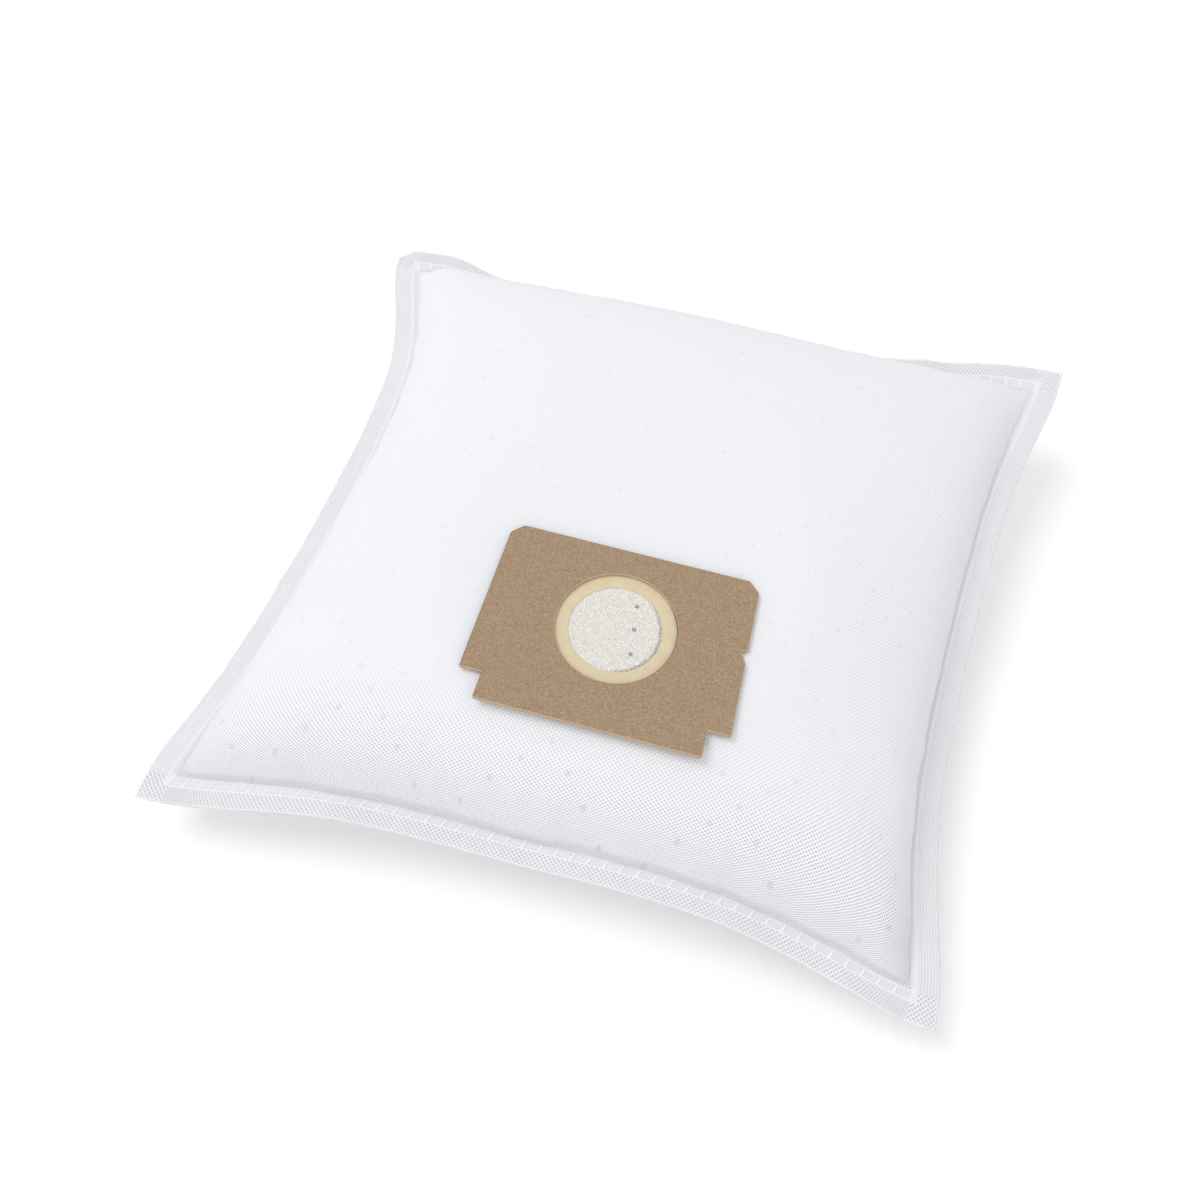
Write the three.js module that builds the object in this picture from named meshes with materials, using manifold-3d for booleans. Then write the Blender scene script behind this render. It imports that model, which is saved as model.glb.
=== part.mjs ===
// A disposable dust bag for a canister vacuum cleaner, puffed up and lying on its belly.
// Two fleece panels are welded along a flat flange. A cardboard collar with a rubber sealing
// membrane sits on the front half of the upper panel, over the inlet hole. A limp fleece flap
// hangs inside the inlet.
//
// Millimetres, +Z up, +X to the right, +Y to the back. The origin is on the floor, under the
// middle of the bag.
import * as THREE from "three";
import { mergeVertices } from "three/addons/utils/BufferGeometryUtils.js";
import Module from "manifold-3d";

// Outline of the bag over the tips of its ears, and how far single ears fall short of that box
const BAG_WIDTH = 340;
const BAG_DEPTH = 316;
const FRONT_LEFT_EAR_SHORT_X = 1.7;
const FRONT_RIGHT_EAR_SHORT_X = 12.2;
const FRONT_RIGHT_EAR_SHORT_Y = 3.6;
const BACK_LEFT_EAR_SHORT_Y = 9.5;
const BACK_LEFT_EAR_CUT = 5;
const FLANGE_WIDTH = 12;

// How far the puffed belly draws in the middle of each side, and how much more of it is towards
// the side's second ear than towards its first one
const FRONT_BOW = 14.7;
const BACK_BOW = 12.1;
const LEFT_BOW = 22;
const RIGHT_BOW = 15.2;
const FRONT_BOW_SKEW = 0.19;
const BACK_BOW_SKEW = 0.05;
const LEFT_BOW_SKEW = 0.36;
const RIGHT_BOW_SKEW = -0.13;
const BOW_SHAPE = 4;
const BOW_EASE = 2.5;

// Heights of the welded seam above the floor
const FRONT_LEFT_EAR_HEIGHT = 24;
const FRONT_RIGHT_EAR_HEIGHT = 21;
const BACK_RIGHT_EAR_HEIGHT = 52;
const BACK_LEFT_EAR_HEIGHT = 37;
const FRONT_SEAM_HEIGHT = 32;
const BACK_SEAM_HEIGHT = 44;
const LEFT_SEAM_HEIGHT = 34;
const RIGHT_SEAM_HEIGHT = 33;
const WAVE_HEIGHT = 2;
const WAVES_PER_SIDE = 2.2;

// Belly of the bag
const CROWN_HEIGHT = 84;
const BELLY_SAG = 7;
const BELLY_OVERHANG = 4;
const UPPER_BELLY = { sides: 2.8, front: 4.5, back: 3, ease: 0.5 };
const LOWER_BELLY = { sides: 2.4, front: 2.4, back: 2.4, ease: 0.55 };
const PANEL_THICKNESS = 0.8;

// Cardboard collar. Its front edge is wider than its back edge by the taper.
const COLLAR_WIDTH = 103.7;
const COLLAR_LENGTH = 77.5;
const COLLAR_TAPER = 3.2;
const COLLAR_THICKNESS = 2.1;
const COLLAR_X = 1.2;
const COLLAR_Y = -59.9;
const COLLAR_TURN_DEG = 1.15;
const COLLAR_BELOW_CROWN = 2;
const COLLAR_CHAMFER = 4.5;
const STEP_WIDTH = 8.8;
const STEP_LENGTH = 10.9;
const NOTCH_FROM_BACK = 30.2;
const NOTCH_UPPER_LENGTH = 1.1;
const NOTCH_LOWER_LENGTH = 4.9;
const NOTCH_DEPTH = 2.6;
const LANDING_MARGIN = 3;
const LANDING_BLEND = 24;

// Inlet
const INLET_X = 0.4;
const INLET_Y = 4;
const COLLAR_OPENING_RADIUS = 23.7;
const MEMBRANE_OVERLAP = 5;
const MEMBRANE_THICKNESS = 0.6;
const MEMBRANE_HOLE_RADIUS = 18.3;
const PANEL_HOLE_RADIUS = 21;
const FLAP_WIDTH = 62;
const FLAP_LENGTH = 58;
const FLAP_THICKNESS = 0.8;
const FLAP_SAG = 1.2;
const FLAP_SEGMENTS = 10;
const ROUND_SEGMENTS = 64;

// Gap that keeps neighbouring solids apart
const GAP = 0.3;

// Steps of the panel grid from the middle of the bag to its seam, and how near to each other two
// of its lines may be, as a share of a mean step
const GRID_STEPS = 12;
const LEAST_STEP_SHARE = 0.6;

const HALF_WIDTH = BAG_WIDTH / 2;
const HALF_DEPTH = BAG_DEPTH / 2;
const SEAM_U = 1 - FLANGE_WIDTH / HALF_WIDTH;
const SEAM_V = 1 - FLANGE_WIDTH / HALF_DEPTH;
const LANDING_HEIGHT = CROWN_HEIGHT - COLLAR_BELOW_CROWN - COLLAR_THICKNESS - GAP;

const wasm = await Module();
wasm.setup();

const lerp = THREE.MathUtils.lerp;
const smoothstep = THREE.MathUtils.smoothstep;
const clamp = THREE.MathUtils.clamp;

// One outer edge of the flange: t runs from -1 at its first ear to 1 at its second ear.
function edgePoint(side, t) {
  const along = (1 + t) / 2;
  const round = Math.pow(1 - Math.pow(Math.abs(t), BOW_SHAPE), BOW_EASE);
  const bow = side.bow * (1 + side.skew * t) * round;
  const arch = 1 - t * t;
  const lift = side.height - (side.from.z + side.to.z) / 2;
  const wave = WAVE_HEIGHT * Math.sin(WAVES_PER_SIDE * Math.PI * t + side.phase);
  return new THREE.Vector3()
    .lerpVectors(side.from, side.to, along)
    .addScaledVector(side.inward, bow)
    .add(new THREE.Vector3(0, 0, arch * (lift + wave)));
}

const ears = {
  frontLeft: new THREE.Vector3(
    -HALF_WIDTH + FRONT_LEFT_EAR_SHORT_X,
    -HALF_DEPTH,
    FRONT_LEFT_EAR_HEIGHT,
  ),
  frontRight: new THREE.Vector3(
    HALF_WIDTH - FRONT_RIGHT_EAR_SHORT_X,
    -HALF_DEPTH + FRONT_RIGHT_EAR_SHORT_Y,
    FRONT_RIGHT_EAR_HEIGHT,
  ),
  backLeft: new THREE.Vector3(
    -HALF_WIDTH,
    HALF_DEPTH - BACK_LEFT_EAR_SHORT_Y,
    BACK_LEFT_EAR_HEIGHT,
  ),
  backRight: new THREE.Vector3(HALF_WIDTH, HALF_DEPTH, BACK_RIGHT_EAR_HEIGHT),
};
const front = {
  from: ears.frontLeft,
  to: ears.frontRight,
  inward: new THREE.Vector3(0, 1, 0),
  bow: FRONT_BOW,
  skew: FRONT_BOW_SKEW,
  height: FRONT_SEAM_HEIGHT,
  phase: -0.7,
};
const back = {
  from: ears.backLeft,
  to: ears.backRight,
  inward: new THREE.Vector3(0, -1, 0),
  bow: BACK_BOW,
  skew: BACK_BOW_SKEW,
  height: BACK_SEAM_HEIGHT,
  phase: 2.1,
};
const left = {
  from: ears.frontLeft,
  to: ears.backLeft,
  inward: new THREE.Vector3(1, 0, 0),
  bow: LEFT_BOW,
  skew: LEFT_BOW_SKEW,
  height: LEFT_SEAM_HEIGHT,
  phase: 4.0,
};
const right = {
  from: ears.frontRight,
  to: ears.backRight,
  inward: new THREE.Vector3(-1, 0, 0),
  bow: RIGHT_BOW,
  skew: RIGHT_BOW_SKEW,
  height: RIGHT_SEAM_HEIGHT,
  phase: 5.2,
};

// The seam surface: a Coons patch stretched between the four edges, u and v from -1 to 1.
function seamPoint(u, v) {
  const a = (1 + u) / 2;
  const b = (1 + v) / 2;
  const across = edgePoint(front, u).multiplyScalar(1 - b).addScaledVector(edgePoint(back, u), b);
  const along = edgePoint(left, v).multiplyScalar(1 - a).addScaledVector(edgePoint(right, v), a);
  const corners = new THREE.Vector3()
    .addScaledVector(ears.frontLeft, (1 - a) * (1 - b))
    .addScaledVector(ears.frontRight, a * (1 - b))
    .addScaledVector(ears.backLeft, (1 - a) * b)
    .addScaledVector(ears.backRight, a * b);
  return across.add(along).sub(corners);
}

function isFlange(u, v) {
  return Math.abs(u) >= SEAM_U || Math.abs(v) >= SEAM_V;
}

// How full the belly is at a point: 0 on the flange and at the seam, 1 in the middle.
function fullness(s, shape, ease) {
  return Math.pow(1 - Math.pow(clamp(Math.abs(s), 0, 1), shape), ease);
}

// A point of the belly between the seam and the wanted middle height. The belly's wall bulges
// outwards over the flange.
function bellyPoint(u, v, belly, seamLift, middle) {
  const p = seamPoint(u, v);
  const fullX = fullness(u / SEAM_U, belly.sides, belly.ease);
  const fullY = fullness(v / SEAM_V, v < 0 ? belly.front : belly.back, belly.ease);
  const bulge = (full) => 4 * full * (1 - full) * BELLY_OVERHANG;
  p.x += Math.sign(u) * bulge(fullX) * fullY;
  p.y += Math.sign(v) * bulge(fullY) * fullX;
  p.z = lerp(p.z + seamLift, middle, fullX * fullY);
  return p;
}

// Place of a point in the collar's own frame, whose origin is the middle of the collar.
function toCollar(x, y) {
  const turn = THREE.MathUtils.degToRad(COLLAR_TURN_DEG);
  const dx = x - COLLAR_X;
  const dy = y - COLLAR_Y;
  return [dx * Math.cos(turn) + dy * Math.sin(turn), dy * Math.cos(turn) - dx * Math.sin(turn)];
}

// 1 under the collar, falling to 0 outside it, so that the panel is flat where the collar is glued.
function landing(x, y) {
  const [cx, cy] = toCollar(x, y);
  const outX = Math.max(Math.abs(cx) - COLLAR_WIDTH / 2 - LANDING_MARGIN, 0);
  const outY = Math.max(Math.abs(cy) - COLLAR_LENGTH / 2 - LANDING_MARGIN, 0);
  return 1 - smoothstep(Math.hypot(outX, outY), 0, LANDING_BLEND);
}

// Outer surface of the upper panel
function upperSurface(u, v) {
  const lift = GAP / 2 + PANEL_THICKNESS;
  const p = bellyPoint(u, v, UPPER_BELLY, lift, CROWN_HEIGHT);
  p.z = lerp(p.z, LANDING_HEIGHT, landing(p.x, p.y));
  return p;
}

// Outer surface of the lower panel, flat where it lies on the floor
function lowerSurface(u, v) {
  const drop = -GAP / 2 - PANEL_THICKNESS;
  const p = bellyPoint(u, v, LOWER_BELLY, drop, -BELLY_SAG);
  p.z = Math.max(0, p.z);
  return p;
}

// Wanted grid lines: round the flat landing, and halfway through its blend into the belly
function collarLines(centre, size, half) {
  const reaches = [size / 2 + LANDING_MARGIN, size / 2 + LANDING_MARGIN + LANDING_BLEND / 2];
  return reaches.flatMap((r) => [(centre - r) / half, (centre + r) / half]);
}

// Grid lines in one direction: closer together towards the seam, with one at the seam, one at
// the cut edge and one at each wanted place. A line that is too near to a wanted one gives way.
function gridLines(seam, wanted) {
  const lines = [];
  for (let k = -GRID_STEPS; k <= GRID_STEPS; k++) {
    lines.push(seam * Math.sin((Math.PI / 2) * (k / GRID_STEPS)));
  }
  const close = (LEAST_STEP_SHARE * seam) / GRID_STEPS;
  const kept = lines.filter(
    (line) => Math.abs(line) === seam || wanted.every((w) => Math.abs(w - line) > close),
  );
  const inside = wanted.filter((w) => Math.abs(w) < seam - close);
  return [-1, ...kept, ...inside, 1].sort((a, b) => a - b);
}

// A closed shell of one panel: its outer surface, the same surface set in by the thickness, and
// the cut edge between them. facing is 1 for the upper panel and -1 for the lower one.
function panelGeometry(surface, facing) {
  const us = gridLines(SEAM_U, collarLines(COLLAR_X, COLLAR_WIDTH, HALF_WIDTH));
  const vs = gridLines(SEAM_V, collarLines(COLLAR_Y, COLLAR_LENGTH, HALF_DEPTH));
  const nu = us.length;
  const nv = vs.length;
  const outer = new THREE.BufferGeometry();
  const points = [];
  for (const v of vs) {
    for (const u of us) {
      points.push(...surface(u, v));
    }
  }
  const faces = [];
  for (let j = 0; j < nv - 1; j++) {
    for (let i = 0; i < nu - 1; i++) {
      const a = j * nu + i;
      const b = a + 1;
      const c = a + nu;
      const d = c + 1;
      faces.push(...(facing > 0 ? [a, b, d, a, d, c] : [a, d, b, a, c, d]));
    }
  }
  outer.setAttribute("position", new THREE.Float32BufferAttribute(points, 3));
  outer.setIndex(faces);
  outer.computeVertexNormals();
  const normal = outer.getAttribute("normal");
  const count = nu * nv;
  const all = [...points];
  for (let i = 0; i < count; i++) {
    const onFlange = isFlange(us[i % nu], vs[Math.floor(i / nu)]);
    const n = onFlange
      ? new THREE.Vector3(0, 0, facing)
      : new THREE.Vector3().fromBufferAttribute(normal, i);
    all.push(
      points[3 * i] - n.x * PANEL_THICKNESS,
      points[3 * i + 1] - n.y * PANEL_THICKNESS,
      points[3 * i + 2] - n.z * PANEL_THICKNESS,
    );
  }
  const closed = [...faces];
  for (let i = 0; i < faces.length; i += 3) {
    closed.push(faces[i] + count, faces[i + 2] + count, faces[i + 1] + count);
  }
  const rim = [];
  for (let i = 0; i < nu - 1; i++) rim.push(i);
  for (let j = 0; j < nv - 1; j++) rim.push(j * nu + nu - 1);
  for (let i = nu - 1; i > 0; i--) rim.push((nv - 1) * nu + i);
  for (let j = nv - 1; j > 0; j--) rim.push(j * nu);
  rim.forEach((a, k) => {
    const b = rim[(k + 1) % rim.length];
    const inA = a + count;
    const inB = b + count;
    closed.push(...(facing > 0 ? [a, inB, b, a, inA, inB] : [a, b, inB, a, inB, inA]));
  });
  const geometry = new THREE.BufferGeometry();
  geometry.setAttribute("position", new THREE.Float32BufferAttribute(all, 3));
  geometry.setIndex(closed);
  return geometry;
}

// Conversions between three.js geometry and the solids that booleans work on
function toSolid(geometry) {
  const bare = geometry.clone();
  bare.deleteAttribute("normal");
  bare.deleteAttribute("uv");
  const merged = mergeVertices(bare, 1e-4);
  return new wasm.Manifold(
    new wasm.Mesh({
      numProp: 3,
      vertProperties: new Float32Array(merged.attributes.position.array),
      triVerts: new Uint32Array(merged.index.array),
    }),
  );
}

function toGeometry(solid) {
  const mesh = solid.getMesh();
  const geometry = new THREE.BufferGeometry();
  geometry.setAttribute("position", new THREE.BufferAttribute(mesh.vertProperties, 3));
  geometry.setIndex(new THREE.BufferAttribute(mesh.triVerts, 1));
  geometry.computeVertexNormals();
  return geometry;
}

// A drum about the inlet's axis, used as a cutter
function drum(radius, low, high) {
  const geometry = new THREE.CylinderGeometry(radius, radius, high - low, ROUND_SEGMENTS);
  return geometry.rotateX(Math.PI / 2).translate(INLET_X, INLET_Y, (low + high) / 2);
}

// Outline of the collar in its own frame: cut corners at the back, stepped corners at the front
// and a small notch in the right side.
function collarOutline() {
  const w = COLLAR_WIDTH / 2;
  const l = COLLAR_LENGTH / 2;
  const notch = l - NOTCH_FROM_BACK;
  const corners = [
    [-w + STEP_WIDTH, -l],
    [w - STEP_WIDTH, -l],
    [w - STEP_WIDTH, -l + STEP_LENGTH],
    [w, -l + STEP_LENGTH],
    [w, notch - NOTCH_UPPER_LENGTH - NOTCH_LOWER_LENGTH],
    [w - NOTCH_DEPTH, notch - NOTCH_UPPER_LENGTH],
    [w, notch],
    [w, l - COLLAR_CHAMFER],
    [w - COLLAR_CHAMFER, l],
    [-w + COLLAR_CHAMFER, l],
    [-w, l - COLLAR_CHAMFER],
    [-w, -l + STEP_LENGTH],
    [-w + STEP_WIDTH, -l + STEP_LENGTH],
  ];
  const narrowing = COLLAR_TAPER / (COLLAR_WIDTH * COLLAR_LENGTH);
  return new THREE.Shape(corners.map(([x, y]) => new THREE.Vector2(x * (1 - narrowing * y), y)));
}

// The collar: a card with the round opening, and a pocket underneath that takes the membrane
function collarGeometry() {
  const card = new THREE.ExtrudeGeometry(collarOutline(), {
    depth: COLLAR_THICKNESS,
    bevelEnabled: false,
  });
  const pocketRadius = COLLAR_OPENING_RADIUS + MEMBRANE_OVERLAP + GAP;
  const pocket = drum(pocketRadius, -1, MEMBRANE_THICKNESS + GAP);
  const opening = drum(COLLAR_OPENING_RADIUS, -1, COLLAR_THICKNESS + 1);
  return toGeometry(toSolid(card).subtract(toSolid(pocket)).subtract(toSolid(opening)));
}

// The rubber membrane: a flat ring whose hole grips the nozzle
function membraneGeometry() {
  const outer = COLLAR_OPENING_RADIUS + MEMBRANE_OVERLAP;
  const profile = [
    new THREE.Vector2(MEMBRANE_HOLE_RADIUS, 0),
    new THREE.Vector2(outer, 0),
    new THREE.Vector2(outer, MEMBRANE_THICKNESS),
    new THREE.Vector2(MEMBRANE_HOLE_RADIUS, MEMBRANE_THICKNESS),
    new THREE.Vector2(MEMBRANE_HOLE_RADIUS, 0),
  ];
  const ring = new THREE.LatheGeometry(profile, ROUND_SEGMENTS);
  return ring.rotateX(Math.PI / 2).translate(INLET_X, INLET_Y, 0);
}

// The flap: a limp strip of fleece under the inlet, sagging a little in its middle
function flapGeometry() {
  const half = FLAP_WIDTH / 2;
  const sagAt = (s) => -FLAP_SAG * (1 - s * s);
  const lowerEdge = [];
  const upperEdge = [];
  for (let k = 0; k <= FLAP_SEGMENTS; k++) {
    const s = (2 * k) / FLAP_SEGMENTS - 1;
    upperEdge.push(new THREE.Vector2(s * half, sagAt(s)));
    lowerEdge.push(new THREE.Vector2(s * half, sagAt(s) - FLAP_THICKNESS));
  }
  const shape = new THREE.Shape([...lowerEdge, ...upperEdge.reverse()]);
  const strip = new THREE.ExtrudeGeometry(shape, { depth: FLAP_LENGTH, bevelEnabled: false });
  return strip.rotateX(Math.PI / 2).translate(INLET_X, INLET_Y + FLAP_LENGTH / 2, 0);
}

// The upper panel: the shell with its back left ear trimmed and the inlet hole cut through it
function upperPanelGeometry(collarMatrix) {
  const hole = drum(PANEL_HOLE_RADIUS, -2 * PANEL_THICKNESS, PANEL_THICKNESS);
  hole.applyMatrix4(collarMatrix);
  const shell = toSolid(panelGeometry(upperSurface, 1));
  return toGeometry(trimEar(shell.subtract(toSolid(hole))));
}

function lowerPanelGeometry() {
  return toGeometry(trimEar(toSolid(panelGeometry(lowerSurface, -1))));
}

// Cuts the sharp tip off the back left ear.
function trimEar(solid) {
  const reach = BACK_LEFT_EAR_CUT * Math.SQRT2;
  const block = new THREE.BoxGeometry(reach, reach, 2 * CROWN_HEIGHT).rotateZ(Math.PI / 4);
  return solid.subtract(toSolid(block.translate(ears.backLeft.x, ears.backLeft.y, 0)));
}

const materials = {
  outerFleece: new THREE.MeshStandardMaterial({ color: 0xf2f3f6, roughness: 0.95, metalness: 0 }),
  cardboard: new THREE.MeshStandardMaterial({ color: 0xa98f75, roughness: 0.9, metalness: 0 }),
  rubber: new THREE.MeshStandardMaterial({ color: 0xdccda9, roughness: 0.6, metalness: 0 }),
  innerFleece: new THREE.MeshStandardMaterial({ color: 0xefece5, roughness: 1, metalness: 0 }),
};

function piece(name, geometry, material) {
  const mesh = new THREE.Mesh(geometry, material);
  mesh.name = name;
  return mesh;
}

// The pieces of the inlet stand in the collar's frame, on the panel's flat landing.
const inlet = new THREE.Group();
inlet.position.set(COLLAR_X, COLLAR_Y, LANDING_HEIGHT);
inlet.rotation.z = THREE.MathUtils.degToRad(COLLAR_TURN_DEG);
inlet.updateMatrix();

const collar = piece("collar_plate", collarGeometry(), materials.cardboard);
collar.position.z = GAP;
const membrane = piece("sealing_membrane", membraneGeometry(), materials.rubber);
membrane.position.z = GAP;
const flap = piece("inlet_flap", flapGeometry(), materials.innerFleece);
flap.position.z = -PANEL_THICKNESS - GAP;
inlet.add(collar, membrane, flap);

const bag = new THREE.Group();
bag.add(
  piece("lower_panel", lowerPanelGeometry(), materials.outerFleece),
  piece("upper_panel", upperPanelGeometry(inlet.matrix), materials.outerFleece),
  inlet,
);

export default bag;
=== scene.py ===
"""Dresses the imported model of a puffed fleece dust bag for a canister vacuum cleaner.

The bag lies on its belly. Its two fleece panels are welded along a flat flange, and the inlet
on the front half carries a cardboard collar with a rubber membrane and a fleece flap behind it.
Sizes are in millimetres in the tables below and in metres in Blender, +X right, +Y back, +Z up.
"""

import math
from collections import namedtuple

import bmesh
import bpy
import numpy as np
from bpy.props import FloatProperty, FloatVectorProperty, IntProperty, PointerProperty
from mathutils import Matrix, Vector


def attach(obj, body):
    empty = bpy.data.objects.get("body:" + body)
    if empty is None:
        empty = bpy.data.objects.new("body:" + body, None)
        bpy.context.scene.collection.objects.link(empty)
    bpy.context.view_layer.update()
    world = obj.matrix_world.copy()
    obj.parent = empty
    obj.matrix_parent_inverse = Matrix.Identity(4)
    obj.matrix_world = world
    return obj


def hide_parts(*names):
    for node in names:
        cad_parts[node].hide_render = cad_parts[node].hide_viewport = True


bl_info = {
    "name": "Vacuum dust bag",
    "version": (1, 0, 0),
    "blender": (4, 5, 0),
    "location": "View3D > Sidebar > Dust bag",
    "description": "Makes the fleece panels, the collar and the stage of a vacuum dust bag",
    "category": "Object",
}

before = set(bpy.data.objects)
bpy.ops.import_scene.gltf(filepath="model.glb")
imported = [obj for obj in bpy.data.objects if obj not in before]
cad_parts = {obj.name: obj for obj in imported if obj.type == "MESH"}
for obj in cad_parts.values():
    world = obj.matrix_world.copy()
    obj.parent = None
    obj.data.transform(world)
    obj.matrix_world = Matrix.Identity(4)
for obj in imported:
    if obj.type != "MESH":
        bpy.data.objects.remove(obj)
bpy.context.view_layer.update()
BODY = "root"
MM = 0.001

# Outline of the bag, as in the part's source
HALF_WIDTH = 170.0
HALF_DEPTH = 158.0
FLANGE_WIDTH = 12.0
SEAM_U = 1 - FLANGE_WIDTH / HALF_WIDTH
SEAM_V = 1 - FLANGE_WIDTH / HALF_DEPTH
BACK_LEFT_EAR_CUT = 5.0
EARS = {
    "front left": np.array((-168.3, -158.0, 24.0)),
    "front right": np.array((157.8, -154.4, 21.0)),
    "back left": np.array((-170.0, 148.5, 37.0)),
    "back right": np.array((170.0, 158.0, 52.0)),
}
Edge = namedtuple("Edge", "first_ear second_ear inward bow skew seam_height wave_phase")
EDGES = {
    "front": Edge("front left", "front right", (0, 1, 0), 14.7, 0.19, 32.0, -0.7),
    "back": Edge("back left", "back right", (0, -1, 0), 12.1, 0.05, 44.0, 2.1),
    "left": Edge("front left", "back left", (1, 0, 0), 22.0, 0.36, 34.0, 4.0),
    "right": Edge("front right", "back right", (-1, 0, 0), 15.2, -0.13, 33.0, 5.2),
}
BOW_SHAPE = 4.0
BOW_EASE = 2.5
WAVE_HEIGHT = 2.0
WAVES_PER_SIDE = 2.2
EAR_BULGE = 3.6
EAR_BULGE_PLACE = -0.82
EAR_BULGE_REACH = 0.1

# Belly of each panel: exponents of its fullness towards the sides, the front and the back, the
# ease of the fullness, the width of the valley along the seam, and how far the belly bulges over
# the seam all round and at the back
Belly = namedtuple("Belly", "sides front back ease valley_width bulge back_bulge")
UPPER_BELLY = Belly(2.8, 4.5, 5.0, 0.5, 5.0, 2.0, 7.0)
LOWER_BELLY = Belly(2.4, 2.4, 2.4, 0.55, 5.0, 2.0, 2.0)
CROWN_HEIGHT = 84.0
BELLY_SAG = 7.0
CROWN_ABOVE_SEAM = 45.0
PANEL_THICKNESS = 0.45
# Width over which the faces turn level, from the seam onto the flange
FLANGE_EASE = 1.5
# One line of the inner face for every two of the outer one
INNER_STEP = 2

# Puckers along the seam, dents of the belly and small waves of the cut edge, in millimetres, and
# the seeds of their noise
PUCKER_SIZE = 13.0
DENT_SIZE = 38.0
WAVE_SIZE = 17.0
PUCKER_HEIGHT = 0.75
PUCKER_REACH = 11.0
DENT_HEIGHT = 0.5
SMALL_WAVE_HEIGHT = 0.8
FOLD_SEEDS = {1: 7, -1: 19}
WAVE_SEED = 31
FELT_SEED = 51

# Collar and inlet, in the collar's own frame
COLLAR_WIDTH = 103.7
COLLAR_LENGTH = 77.5
COLLAR_TAPER = 3.2
COLLAR_PLACE = (1.2, -59.9)
COLLAR_TURN = math.radians(1.15)
COLLAR_TOP = 82.0
COLLAR_THICKNESS = 2.1
COLLAR_BOTTOM = COLLAR_TOP - COLLAR_THICKNESS
COLLAR_LOWER_LAYER = 0.9
BOARD_PLY = 0.33
COLLAR_CHAMFER = 4.5
CORNER_EASE = 0.5
STEP_WIDTH = 8.8
STEP_LENGTH = 10.9
NOTCH_FROM_BACK = 30.2
NOTCH_UPPER_LENGTH = 1.1
NOTCH_LOWER_LENGTH = 4.9
NOTCH_DEPTH = 2.6
LANDING_HEIGHT = 79.6
# The glued middle of the collar presses the belly flat, with a wide soft dish round it
PRESS_MARGIN = -9.0
PRESS_RADIUS = 620.0
PRESS_EASE = 1.2
INLET = (0.4, 4.0)
OPENING_RADIUS = 23.7
POCKET_RADIUS = 29.0
MEMBRANE_RADIUS = 28.7
MEMBRANE_HOLE_RADIUS = 18.3
MEMBRANE_THICKNESS = 0.6
PANEL_HOLE_RADIUS = 21.0
FLAP_SIZE = (62.0, 58.0)
FLAP_THICKNESS = 0.8
FLAP_SAG = 1.2
FLAP_DROP = 1.1
FLAP_GAP = 0.15
# How far the flap swells up into the membrane's hole, dips at its right, and stays off its edge
FLAP_SWELL = 0.5
FLAP_DIP = 0.9
FLAP_CLEARANCE = 0.12
FLAP_WELDS = ((5.6, 12.0), (6.95, 1.8), (8.2, -8.7))
FLAP_WELD_RADIUS = 1.0

# Pattern of the flange, in millimetres past the seam
PAD_ROW = (1.1, 3.8)
PAD_MIDDLE = 2.4
PAD_SLANT = 0.45
RAISED_LINE = (4.1, 4.5)
OPEN_STRIP_FROM = 4.6
RIBS_FROM = 2.6
CROSS_LINE_PITCH = 1.3
# Where the painted highlight of the cut edge begins
CUT_EDGE_FROM = 10.9
# Pattern of the belly: where its front slope and its right slope begin and end, where the two
# families of quilting rows start, and every how many rows there is one with welds
# Over the front and right slopes the mesh is drawn darker as painted shade
FRONT_SLOPE = (-86.0, -144.0)
RIGHT_SLOPE = (20.0, 120.0)
QUILT_START = (1.5, 25.5)
QUILT_EVERY = 8.0

# Tones that only small details have
BOARD_SPECK = (0.09, 0.055, 0.035)
BOARD_FLECK = (0.62, 0.5, 0.38)
CUT_BOARD = (0.46, 0.34, 0.23)
CUT_BOARD_PALE = (0.62, 0.48, 0.35)
# Painted shade on the board's cut edges that face left and back
BOARD_EDGE_SHADE = (0.08, 0.055, 0.035)
FELT_WELD = (0.34, 0.35, 0.36)

# Camera and stage
CAMERA_PLACE = (0.0330684, -0.2429528, 0.4496491)
CAMERA_RIGHT = (0.96022664, 0.27613847, 0.04138037)
CAMERA_UP = (-0.26174452, 0.83857586, 0.47778692)
CAMERA_BACK = (0.09723477, -0.46961482, 0.87750061)
CAMERA_LENS = 32.2025
SENSOR_WIDTH = 36.0
FLOOR_COLOUR = (0.872, 0.867, 0.857, 1)
FLOOR_REACH = 4.0
FLOOR_HEIGHT = -0.0003
SKY_COLOUR = (0.97, 0.98, 1.0, 1)
LAMP_COLOUR = (1.0, 0.985, 0.965)
# Where each sun shines from, and its spread in degrees
KEY_FROM = (-0.51, 0.06, 0.86)
KEY_SPREAD = 28
FRONT_FROM = (0.1, -0.86, 0.5)
FRONT_SPREAD = 60


def smooth(t):
    """0 below 0, 1 above 1, and a soft step between."""
    t = np.clip(t, 0, 1)
    return t * t * (3 - 2 * t)


def soft_noise(x, y, size, seed):
    """Smooth noise from -1 to 1 over points in millimetres, with blobs of the given size."""
    table = np.random.RandomState(seed).rand(64, 64) * 2 - 1
    gx, gy = x / size, y / size
    ix, iy = np.floor(gx).astype(int), np.floor(gy).astype(int)
    fx, fy = smooth(gx - ix), smooth(gy - iy)
    a, b = table[iy % 64, ix % 64], table[iy % 64, (ix + 1) % 64]
    c, d = table[(iy + 1) % 64, ix % 64], table[(iy + 1) % 64, (ix + 1) % 64]
    return (a * (1 - fx) + b * fx) * (1 - fy) + (c * (1 - fx) + d * fx) * fy


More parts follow.
